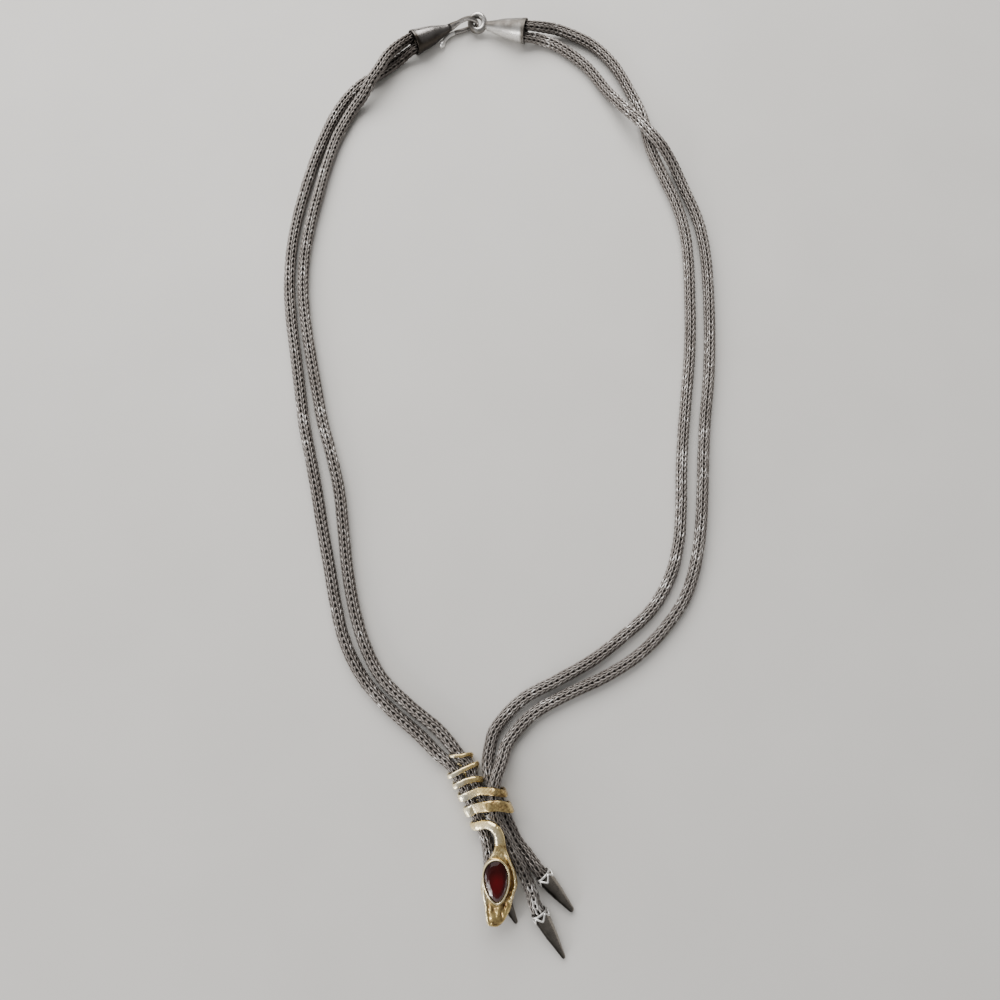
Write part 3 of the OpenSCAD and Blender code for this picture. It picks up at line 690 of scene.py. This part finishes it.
def end_tip(name, a, b, mouth, bore, end, node, turn):
    g = Parts("wear")
    length = float(np.linalg.norm(b - a))
    prof = cap_profile(length, mouth, bore, 1.6, end, 0.7)
    lathe(g, a, b, prof[:11], 64, slot=1)
    # The cone body: painted shade, a dark reflection, on its lower left flank.
    lathe(g, a, b, prof[10:], 64, side_darkening=dark_side(155, 100, 1.0))
    # a thin wire soldered on in zigzag behind the rim
    d, s, u = frame_along(a, b)
    k = np.linspace(0, 2 * math.pi, 181)[:-1] + turn
    z = 1.15 + 0.72 * (2 / math.pi) * np.arcsin(np.sin(5 * k) * 0.97)
    r = np.interp(z, [q[0] for q in prof[10:24]], [q[1] for q in prof[10:24]]) - 0.06
    path = a + d * z[:, None] + (np.cos(k)[:, None] * s + np.sin(k)[:, None] * u) * r[:, None]
    loop = np.concatenate([path, path[:1]])
    wire(g, loop, 0.24, 10, slot=1, ends=False)
    piece(g.make(name, [TIPS, RIMS]), "polished_silver", node)


end_tip("point_left_outer", lo_mouth, lo_point, 4.2, 3.6, 1.0, "tip_left_outer", 0.2)
end_tip("point_left_inner", li_mouth, li_point, 3.2, 2.8, 1.0, "tip_left_inner", 0.5)
end_tip("point_right_outer", ro_mouth, ro_point, 4.2, 3.6, 1.0, "tip_right_outer", 0.9)
end_tip("point_right_inner", ri_mouth, ri_point, 4.2, 3.6, 1.4, "tip_right_inner", 0.4)

# --------------------------------------------------------------------- snake
BAND = 0.6
COILS = [  # left a, left b, right a, right b, low, high, climb from, to, side z, bow, width
    [0.1, -2.05, 0.6, 5.7, 4.4, 4.4, 0.3, 0.6, 2.4, 0, 1.1],
    [2.8, -2, 4.4, 4.88, 4.45, 4.45, 0.3, 0.6, 2.4, -0.1, 1.4],
    [5.65, -2, 9.6, 8.7, 4.45, 7.75, 0.42, 0.66, 3.8, 0.35, 1.8],
    [9.3, -2.15, 13.2, 8.3, 4.4, 7.65, 0.3, 0.54, 3.8, 0.1, 2.4]]
NECK_START = [12.9, -2.3]


def over(c, v):
    x = (1 - pw(math.cos(math.radians(v)), 0.5)) / 2
    up = pw(math.sin(math.radians(v)), 0.5)
    h = c[4] + (c[5] - c[4]) * step01((x - c[6]) / (c[7] - c[6]))
    side = 2.4 + (c[8] - 2.4) * x
    p = ab(c[0] + (c[2] - c[0]) * x ** 3.5 + c[9] * math.sin(math.radians(v)),
           c[1] + (c[3] - c[1]) * x, side + (h - side) * up)
    o = ab(0, -math.cos(math.radians(v)), math.sin(math.radians(v))) - ab(0, 0, 0)
    return [*p, *o, c[10], BAND]


def under(c, l, w, v):
    x = (1 - pw(math.cos(math.radians(v)), 0.5)) / 2
    down = pw(math.sin(math.radians(v)), 0.5)
    side = c[8] + (2.4 - c[8]) * x
    low = 0.03 + BAND / 2
    p = ab(c[2] + (l[0] - c[2]) * v / 180, c[3] + (l[1] - c[3]) * x, side + (low - side) * down)
    o = ab(0, math.cos(math.radians(v)), -math.sin(math.radians(v))) - ab(0, 0, 0)
    return [*p, *o, c[10] + (w - c[10]) * v / 180, BAND]


TAIL = [[-4.6, 0.4, 2.4, -1, 0, 0.4, 0.3], [-4.35, 0.45, 3.15, -1, 0.2, 0.6, 0.3],
        [-4, 0.8, 4, -0.6, 0.8, 0.7, 0.5], [-3.5, 2, 4.45, 0, 1, 0.8, 0.6],
        [-2.9, 3.2, 4.35, 0.2, 1, 0.9, 0.65], [-2.4, 4.65, 3.75, 0.7, 0.7, 0.9, 0.7]]
TAIL_SIDE = [0, 0, -1.9, 5.35, 0, 0, 0, 0, 2.4, 0, 0.9]
NECK = [[-6.7, -102.4, 3.5, -0.8, -0.3, 0.3, 1.8, 0.8], [-6.2, -102.3, 4.5, -0.6, -0.2, 0.8, 1.9, 0.8],
        [-5.3, -102, 5.3, -0.4, -0.1, 0.9, 2, 0.9], [-4.3, -101.6, 5.9, -0.3, 0, 0.95, 2, 1],
        [-3.3, -101.3, 6.9, -0.2, 0, 1, 2, 1.1], [-2.1, -101.5, 7.6, 0, 0, 1, 2, 1.1],
        [-1, -102.2, 7.9, 0, 0, 1, 2.1, 1.1], [-0.3, -103.4, 7.8, 0, 0, 1, 2.2, 1.15],
        [0, -104.9, 7.5, 0, 0, 1, 2.4, 1.2], [0.05, -106, 7.3, 0, 0, 1, 2.1, 0.95],
        [0.05, -107, 7.15, 0, 0, 1, 1.6, 0.7]]
HEAD = [  # y, left x, right x, jaw line z, height, depth
    [-104.2, -1.13, 1.1, 7.62, 0.44, 0.39], [-105.2, -1.2, 1.25, 7.46, 0.48, 0.43],
    [-106.8, -1.4, 1.6, 7.2, 0.55, 0.5], [-108.2, -2.2, 2.2, 7.1, 0.75, 0.7],
    [-109.6, -3, 2.75, 6.9, 0.9, 0.85], [-111, -3.6, 3.4, 6.8, 1, 0.95],
    [-112.5, -4.2, 3.9, 6.6, 1, 1], [-114.6, -4.5, 4.1, 6.4, 1, 1],
    [-116.4, -4.4, 3.5, 6.2, 1, 1], [-118, -3.95, 3, 6, 1, 0.95],
    [-119.7, -3.6, 2.5, 5.8, 0.95, 0.9], [-121.2, -3.45, 1.8, 5.6, 0.85, 0.8],
    [-122.5, -3.25, 1, 5.4, 0.75, 0.7], [-123.3, -2.9, 0.3, 5.25, 0.6, 0.6],
    [-123.75, -2.4, -0.35, 5.15, 0.4, 0.4]]

stations = [[*ab(r[0], r[1], r[2]), *(ab(0, r[3], r[4]) - ab(0, 0, 0)), r[5], r[6]] for r in TAIL]
stations += [under(TAIL_SIDE, COILS[0], COILS[0][10], v) for v in np.arange(0, 157.6, 22.5)]
for i, c in enumerate(COILS):
    stations += [over(c, v) for v in np.arange(0, 166, 15)]
    nxt, w = (COILS[i + 1], COILS[i + 1][10]) if i < 3 else (NECK_START, 1.7)
    stations += [under(c, nxt, w, v) for v in np.arange(0, 157.6, 22.5)]
stations += [[*ab(NECK_START[0], NECK_START[1], 2.5), *(ab(0, -1, 0) - ab(0, 0, 0)), 1.7, BAND]]
stations += NECK


def diamonds(u, v):
    """Height 0..1 of overlapping diamond scales at u, v, both in scales."""
    a = np.abs(u - np.round(u)) + np.abs(v - np.round(v))
    b = np.abs(u + 0.5 - np.round(u + 0.5)) + np.abs(v + 0.5 - np.round(v + 0.5))
    near = np.minimum(a, b)
    return np.clip(1 - (near / 0.5) ** 3, 0, 1)


def fbm(p, scale, seed):
    off = Vector((seed * 3.1, seed * 1.7, seed * 2.3))
    return np.array([noise.fractal(Vector(q) * scale + off, 1.0, 2.0, 3) for q in p.reshape(-1, 3)]).reshape(p.shape[:-1])


g = Parts("wear", "tint")
st = through(stations, 8)
arc, st = resample(st, 0.10)
st = soften(st, 3)
c, o, wd, tk = st[:, :3], st[:, 3:6], st[:, 6], st[:, 7]
t = unit(np.gradient(c, axis=0))
wv = unit(np.cross(t, o))
nv = np.cross(wv, t)
m = 54
v = 2 * math.pi * np.arange(m) / m
cx = pw(np.cos(v), 0.72)
cy = pw(np.sin(v), 0.72)
dome = 1 + 0.18 * np.clip(cy, 0, 1)
taper = step01(np.clip((arc) / 1.2, 0, 1))[:, None]
lx = cx[None] * wd[:, None] / 2 * taper ** 0.5
ly = cy[None] * dome[None] * tk[:, None] / 2 * taper ** 0.5
body = c[:, None] + wv[:, None] * lx[..., None] + nv[:, None] * ly[..., None]
soft = fbm(body, 0.9, 4)
lumps = fbm(body, 2.1, 6)
scale_u = arc[:, None] / 1.15 + 0.10 * lumps
scale_v = lx / 0.78 + 0.08 * soft
face = step01(np.clip(cy, 0, 1) / 0.8)[None] * np.ones((len(arc), 1))
sc = diamonds(scale_u, scale_v)
grow = np.clip((wd[:, None] - 1.0) / 1.0, 0.0, 1)
disp = face * (0.035 * (0.25 + 0.75 * grow) * (sc - 0.8)) + (0.05 * soft + 0.035 * lumps) * np.clip(wd[:, None] / 2, 0.4, 1)
outward = unit(wv[:, None] * (cx[None, :, None] * 0.8) + nv[:, None] * (cy[None, :, None]))
body = body + outward * disp[..., None]
body[..., 2] = np.maximum(body[..., 2], 0.03)
across = ((body[..., 0] + 10.8) * 0.88 + (body[..., 1] + 90.2) * 0.47) / (0.88 ** 2 + 0.47 ** 2)
along = ((body[..., 0] + 10.8) * 0.47 - (body[..., 1] + 90.2) * 0.88) / (0.88 ** 2 + 0.47 ** 2)
fourth = np.exp(-((along - 0.383 * (across + 2.1) - 5.7) / 1.3) ** 2)
# Painted light and shade on the coils, light falling from the left: darker underneath and towards the right ends, the
# fourth coil lighter at its left and darker at its right. Also darker between the scales, brighter along the neck, and
# noise.
shaded_right_ends = step01((across - 1.5) / 5.0) * (arc[:, None] < arc[-1] - 13)
wear = np.clip(0.84 - face * (1 - sc) * (0.10 + 0.16 * grow) - (1 - np.clip(cy + 1.0, 0, 1))[None] * 0.16 - 0.17 * shaded_right_ends + soft * 0.22 + lumps * 0.12 + 0.21 * (arc[:, None] > arc[-1] - 13)
               + fourth * (0.16 * (1 - step01((across + 1) / 3)) - 0.16 * shaded_right_ends), 0, 1)
tris = [[0, 0, 0]]
k = len(arc)
verts = np.concatenate([body.reshape(-1, 3), c[:1] - t[:1] * 0.05, c[-1:]])
tris = [[k * m, (j + 1) % m, j] for j in range(m)] + [[k * m + 1, (k - 1) * m + j, (k - 1) * m + (j + 1) % m] for j in range(m)]
# Painted light: pale cream where the coils' left ends are lit, fading to warm gold on the right; the neck paler on one
# side.
lit_pale = 1.0 - 0.95 * step01((across + 0.8) / 4.4)
lit_pale = np.where(arc[:, None] > arc[-1] - 13, 0.42 + 0.38 * cx[None] + 0.1 * soft, lit_pale + 0.12 * soft)
g.add(verts, grid_quads(k, m, flip=False), tris, wear=np.r_[wear.ravel(), 0.8, 0.8], tint=np.r_[np.clip(lit_pale, 0, 1).ravel(), 0.5, 0.5])

# ---- head: rows along y, each a ring; the top carries the carved relief
stone_at = vec(-0.9, -112.3, 7.45)
ct, s_t = math.cos(math.radians(5)), math.sin(math.radians(5))
cr, sr = math.cos(math.radians(3)), math.sin(math.radians(3))


def on_head(p):
    """From the stone's own axes to the frame's."""
    p = np.asarray(p, float)
    x, y, z = p[..., 0], p[..., 1], p[..., 2]
    x, y = x * cr - y * sr, x * sr + y * cr
    y, z = y * ct - z * s_t, y * s_t + z * ct
    return np.stack([x, y, z], -1) + stone_at


def pear(grow, n, phase=0.0):
    """Outline of the stone, its point at -y."""
    v = 2 * math.pi * (np.arange(n) + phase) / n
    y, x = np.cos(v), np.sin(v)
    w = 2.8 + grow
    px = x * w * np.where(y < 0, np.maximum(1 - np.abs(y) ** 1.6, 0) ** 0.12, 1)
    py = np.where(y > 0, y * (9.2 * 0.38 + grow), y * (9.2 * 0.62 + grow * 1.3))
    return px, py


def dist_line(x, y, pts):
    """Distance from x, y to a broken line, and how far along it, 0..1."""
    best = np.full(x.shape, 1e9)
    where = np.zeros(x.shape)
    n = len(pts) - 1
    for i in range(n):
        ax, ay = pts[i]
        bx, by = pts[i + 1]
        l2 = (bx - ax) ** 2 + (by - ay) ** 2
        f = np.clip(((x - ax) * (bx - ax) + (y - ay) * (by - ay)) / l2, 0, 1)
        d = np.hypot(x - ax - f * (bx - ax), y - ay - f * (by - ay))
        sel = d < best
        best = np.where(sel, d, best)
        where = np.where(sel, (i + f) / n, where)
    return best, where


def ridge(x, y, pts, half, high, ends=0.15):
    d, f = dist_line(x, y, pts)
    fade = np.clip(np.minimum(f, 1 - f) / ends + 0.25, 0, 1)
    return high * np.exp(-(d / half) ** 2) * fade


head = through(HEAD, 12)
_, head = resample(np.c_[head[:, 1] * 0, head[:, 0], head[:, 3] * 0, head[:, 1:]], 0.115)
hy, hl, hr2, hz, hh, hd = head[:, 1], head[:, 3], head[:, 4], head[:, 5], head[:, 6], head[:, 7]
n, m = len(hy), 120
v = 2 * math.pi * np.arange(m) / m
ex = 0.72 + 0.13 * step01((-105.0 - hy) / 4)[:, None]
ez = 0.72 + 0.08 * step01((-105.0 - hy) / 4)[:, None]
cx = -pw(np.cos(v)[None], ex)
cy = pw(np.sin(v)[None], ez)
X = (hl + hr2)[:, None] / 2 + cx * (hr2 - hl)[:, None] / 2
Y = np.repeat(hy[:, None], m, 1)
Z = hz[:, None] + np.where(cy > 0, cy * hh[:, None] * 1.25, cy * hd[:, None] * 1.4)
top = step01(np.clip(cy, 0, 1) / 0.55)
pts3 = np.stack([X, Y, Z], -1)
soft = fbm(pts3, 1.1, 9)
lumps = fbm(pts3, 2.6, 12)
A = X + 0.16 * fbm(pts3, 1.3, 21)
B = Y + 0.25 * fbm(pts3, 1.3, 33)
relief = ridge(A, B, [(1.1, -106.6), (2.1, -109.2), (2.95, -111.2), (3.55, -113.4), (3.35, -115.4), (2.75, -117.2), (2.35, -118.8)], 0.40, 0.50)
relief -= ridge(A, B, [(1.3, -109.0), (2.2, -110.7), (2.85, -112.6), (2.85, -114.4), (2.15, -116.4), (1.3, -118.0)], 0.36, 0.50)
relief += ridge(A, B, [(-1.1, -106.6), (-2.3, -109.2), (-3.3, -111.4), (-3.95, -114.2), (-3.85, -116.6), (-3.45, -118.6), (-3.2, -120.6), (-3.0, -122.3), (-2.55, -123.4)], 0.38, 0.34)
relief += ridge(A, B, [(-2.9, -123.2), (-1.9, -123.5), (-0.9, -123.5)], 0.30, 0.16)
relief += ridge(A, B, [(0.1, -118.6), (-0.4, -120.1), (-0.65, -121.8)], 0.34, 0.26)
relief += ridge(A, B, [(1.75, -118.9), (1.5, -120.6), (1.0, -122.0)], 0.40, 0.20)
for px, py, rx, ry, dp in ((-1.7, -121.6, 0.6, 0.75, 0.22), (1.05, -118.9, 0.34, 0.75, -0.42), (0.3, -120.9, 0.28, 0.7, -0.34),
                           (-1.45, -119.7, 0.42, 0.5, -0.34), (-2.65, -119.6, 0.26, 1.0, -0.18), (-0.6, -123.0, 0.5, 0.4, -0.16),
                           (-2.2, -122.9, 0.2, 0.22, -0.14)):
    relief += dp * np.exp(-((A - px) / rx) ** 2 - ((B - py) / ry) ** 2)
sc = diamonds((B + 105) / 1.15, A / 0.78)
scaly = top * np.clip((Y + 121.5) / 4, 0, 1) * np.clip(1 - np.abs(relief) / 0.4, 0, 1)
relief_all = relief * top + scaly * 0.045 * (sc - 0.8) + 0.05 * soft + 0.03 * lumps
# the line of the mouth, and cross ridges on the belly side
mouth = np.exp(-((Z - hz[:, None]) / 0.11) ** 2) * step01((-Y - 111.5) / 2.0)
belly = (np.abs(np.mod(Y / 0.75, 1) - 0.5) * 2) ** 2 * np.clip(-cy, 0, 1)
out_x = cx * 0.9
X = X - out_x * mouth * 0.20
Z = Z + relief_all - 0.06 * belly * np.sign(cy)
cav = np.clip(0.66 - 0.10 * step01((-Y - 117) / 2.5) + relief * 0.80 * top + soft * 0.22 + lumps * 0.14 - scaly * (1 - sc) * 0.18 - mouth * 0.6 - (cy < 0) * belly * 0.25, 0, 1)
verts = np.stack([X, Y, Z], -1)
a0 = verts[0].mean(0)
a1 = verts[-1].mean(0) + vec(0, -0.12, 0)
k = n * m
tris = [[k, j, (j + 1) % m] for j in range(m)] + [[k + 1, (n - 1) * m + (j + 1) % m, (n - 1) * m + j] for j in range(m)]
# On the head, painted light makes it paler towards the left edge; it is also darker towards the snout and paler on the
# raised relief.
g.add(np.concatenate([verts.reshape(-1, 3), [a0], [a1]]), grid_quads(n, m, flip=True), tris,
      wear=np.r_[cav.ravel(), 0.7, 0.8],
      tint=np.r_[np.clip(0.12 + 0.86 * step01((-X - 2.2) / 1.6) - 0.25 * step01((-Y - 117) / 2.5) + 0.25 * relief * top + 0.15 * soft, 0, 1).ravel(), 0.3, 0.6])

# ---- bezel: a low wall round the stone, its lip burnished over the edge
prof = [(0.42, -0.95, 0.25), (0.44, 0.0, 0.35), (0.46, 0.35, 0.6), (0.45, 0.75, 0.85), (0.41, 1.0, 0.95), (0.33, 1.12, 1.0),
        (0.20, 1.16, 1.0), (0.08, 1.12, 0.95), (0.02, 1.02, 0.8), (0.05, 0.86, 0.2), (0.05, 0.3, 0.0), (0.05, -0.55, 0.0), (-0.8, -0.58, 0.0)]
nb = 120
rows = []
wears = []
for gr, z, wv_ in prof:
    px, py = pear(gr, nb)
    rows.append(on_head(np.stack([px, py, np.full(nb, z)], -1)))
    wears.append(np.full(nb, wv_))
g.add(np.concatenate(rows), grid_quads(len(prof), nb, flip=True), wear=np.concatenate(wears), tint=0.45)
piece(g.make("snake_slide", [GOLD]), "gold", "snake")

# --------------------------------------------------------------------- stone
N = 16


def ring_at(scale, z, n=N, phase=0.0):
    px, py = pear(-0.02, n, phase)
    return on_head(np.stack([px * scale, py * scale + (1 - scale) * -0.55, np.full(n, z)], -1))


levels = [ring_at(0.60, 1.72), ring_at(0.80, 1.42, phase=0.5), ring_at(0.985, 0.98), ring_at(0.985, 0.86),
          ring_at(0.66, 0.2, phase=0.5), ring_at(0.25, -0.42)]
verts = np.concatenate(levels + [on_head([[0, -0.55, 1.72]]), on_head([[0, -0.4, -0.5]])])
tris = []
top_c, bot_c = N * 6, N * 6 + 1
for j in range(N):
    k2 = (j + 1) % N
    tris.append([top_c, k2, j])                          # table
    tris.append([j, k2, N + j])                          # star facets
    tris.append([N + j, k2, N + k2])
    tris.append([N + j, 2 * N + k2, 2 * N + j])          # girdle facets
    tris.append([N + j, N + k2, 2 * N + k2])
    tris.append([2 * N + j, 2 * N + k2, 3 * N + k2])
    tris.append([2 * N + j, 3 * N + k2, 3 * N + j])
    tris.append([3 * N + j, 3 * N + k2, 4 * N + j])      # pavilion
    tris.append([4 * N + j, 3 * N + k2, 4 * N + k2])
    tris.append([4 * N + j, 4 * N + k2, 5 * N + k2])
    tris.append([4 * N + j, 5 * N + k2, 5 * N + j])
    tris.append([5 * N + j, 5 * N + k2, bot_c])
# Painted light for the stone's colour: strongest in the middle, fading to the edges.
glow = np.exp(-((verts[:, 0] + 0.55) / 2.2) ** 2 - ((verts[:, 1] + 114.2) / 3.6) ** 2)
gem = make("gem", verts, tris=np.array(tris)[:, ::-1], mats=[GARNET], smooth=False, attrs={"glow": glow})
piece(gem, "garnet", "stone")

# --------------------------------------------------------------------- stage
fl = make("floor", [[-900, -900, 0], [900, -900, 0], [900, 900, 0], [-900, 900, 0]], [[0, 1, 2, 3]], mats=[floor_paint()])


def area(name, loc, size, power, color=(1, 1, 1), target=(0, 0, 0)):
    li = bpy.data.lights.new(name, "AREA")
    li.shape = "RECTANGLE"
    li.size, li.size_y = size
    li.energy = power
    li.color = color
    ob = bpy.data.objects.new(name, li)
    ob.location = loc
    ob.rotation_euler = (Vector(target) - Vector(loc)).to_track_quat("-Z", "Y").to_euler()
    bpy.context.scene.collection.objects.link(ob)
    return ob


area("window", (-0.22, 0.62, 0.62), (1.1, 0.70), 13.8, (1.0, 0.985, 0.96))
area("low_window", (-0.60, -0.70, 0.28), (0.34, 0.40), 4.0, (1.0, 0.98, 0.95), target=(0, 0.05, 0))

world = bpy.data.worlds.new("studio")
bpy.context.scene.world = world
world.use_nodes = True
wt = world.node_tree
bg = wt.nodes["Background"]
tc = wt.nodes.new("ShaderNodeTexCoord")
sep = wt.nodes.new("ShaderNodeSeparateXYZ")
wt.links.new(tc.outputs["Generated"], sep.inputs[0])
rmp = wt.nodes.new("ShaderNodeValToRGB")
rmp.color_ramp.elements[0].color = (1.3, 1.3, 1.31, 1)
rmp.color_ramp.elements[1].color = (0.26, 0.255, 0.25, 1)
near = rmp.color_ramp.elements.new(0.26)
near.color = (0.46, 0.46, 0.465, 1)
mid = rmp.color_ramp.elements.new(0.5)
mid.color = (0.33, 0.326, 0.32, 1)
mr = wt.nodes.new("ShaderNodeMapRange")
mr.inputs["From Min"].default_value = -0.95
mr.inputs["From Max"].default_value = 0.95
wt.links.new(sep.outputs["X"], mr.inputs["Value"])
wt.links.new(mr.outputs["Result"], rmp.inputs["Fac"])
wt.links.new(rmp.outputs["Color"], bg.inputs["Color"])
bg.inputs["Strength"].default_value = 1.0

cam = bpy.data.cameras.new("camera")
cam.sensor_width = 36
cam.lens = 36 * 740 / 1000
cam.clip_start = 0.005
co = bpy.data.objects.new("camera", cam)
co.location = (0, -0.063, 0.194)
co.rotation_euler = (math.radians(90 - 77.9), 0, 0)
bpy.context.scene.collection.objects.link(co)
bpy.context.scene.camera = co

bpy.context.view_layer.update()
